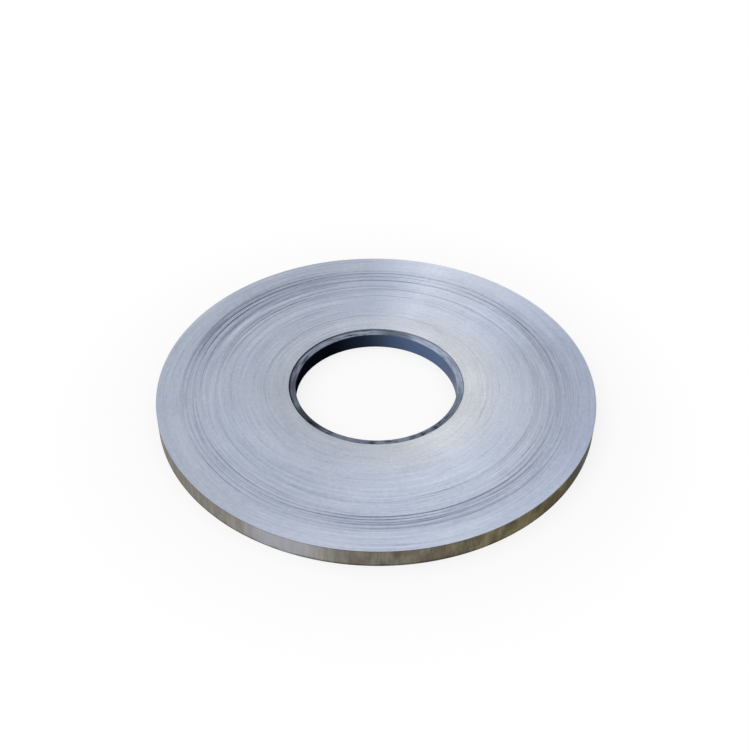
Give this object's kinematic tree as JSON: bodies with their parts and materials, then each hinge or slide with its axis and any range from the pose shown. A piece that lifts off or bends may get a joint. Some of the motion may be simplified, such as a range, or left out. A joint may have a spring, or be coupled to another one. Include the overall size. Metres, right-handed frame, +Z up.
{
  "type": "nickel strip coil",
  "caption": "Flat pancake coil of thin bare nickel strip wound edge-up on a dark plastic core ring, lying on its side, for feeding strip from a mandrel.",
  "frame": {"origin": "centre of the core's bore, in the plane that the coil rests on", "axes": "+Z up along the bore; X and Y lie in the plane that the coil rests on, and the strip's cut end is near +Y"},
  "size_m": [0.2741, 0.2742, 0.0123],
  "materials": {
    "nickel_strip": "bright rolled strip, slit edges",
    "core_plastic": "glossy dark blue-black, scuffed edge"
  },
  "bodies": {
    "root": {"strip_coil": "nickel_strip", "core_ring": "core_plastic"}
  },
  "joints": []
}
